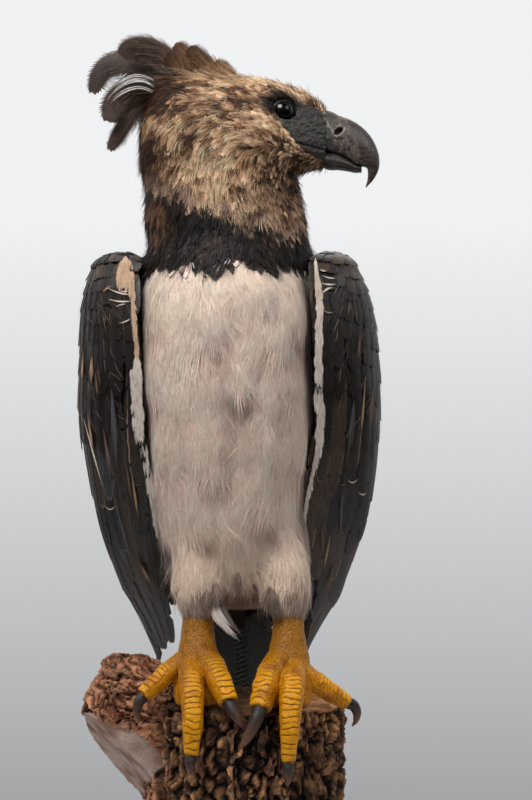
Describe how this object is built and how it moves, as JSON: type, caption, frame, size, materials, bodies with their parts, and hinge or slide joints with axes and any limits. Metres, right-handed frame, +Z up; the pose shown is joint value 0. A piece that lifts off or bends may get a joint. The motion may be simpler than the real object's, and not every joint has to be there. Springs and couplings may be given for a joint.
{
  "type": "harpy eagle",
  "caption": "Life-size mounted harpy eagle standing upright on a cut log, wings folded, crest raised, head turned to its left.",
  "frame": {"origin": "centre of the flat sawn underside of the log", "axes": "+Z up; the bird faces -Y with its head turned to +X, its own left"},
  "size_m": [0.3386, 0.3642, 1.0298],
  "materials": {
    "white_plumage": "soft creamy white feathers",
    "black_plumage": "black feathers with paler edges",
    "brown_plumage": "tan and brown feathers",
    "scaly_skin": "orange yellow scaled skin",
    "claw": "dark horn, satin",
    "bill_horn": "dark grey horn, satin",
    "eye": "black glass eye, glossy",
    "bark": "rough dark bark, sawn wood at the limb's cut"
  },
  "bodies": {
    "root": {"bill_lower": "bill_horn", "bill_upper": "bill_horn", "claw_left_hind": "claw", "claw_left_inner": "claw", "claw_left_middle": "claw", "claw_left_outer": "claw", "claw_right_hind": "claw", "claw_right_inner": "claw", "claw_right_middle": "claw", "claw_right_outer": "claw", "crest": "brown_plumage", "eye_left": "eye", "eye_right": "eye", "head": "brown_plumage", "log": "bark", "neck": "black_plumage", "tail": "black_plumage", "tarsus_left": "scaly_skin", "tarsus_right": "scaly_skin", "thigh_left": "white_plumage", "thigh_right": "white_plumage", "toe_left_hind": "scaly_skin", "toe_left_inner": "scaly_skin", "toe_left_middle": "scaly_skin", "toe_left_outer": "scaly_skin", "toe_right_hind": "scaly_skin", "toe_right_inner": "scaly_skin", "toe_right_middle": "scaly_skin", "toe_right_outer": "scaly_skin", "torso": "white_plumage", "wing_left": "black_plumage", "wing_right": "black_plumage"}
  },
  "joints": []
}
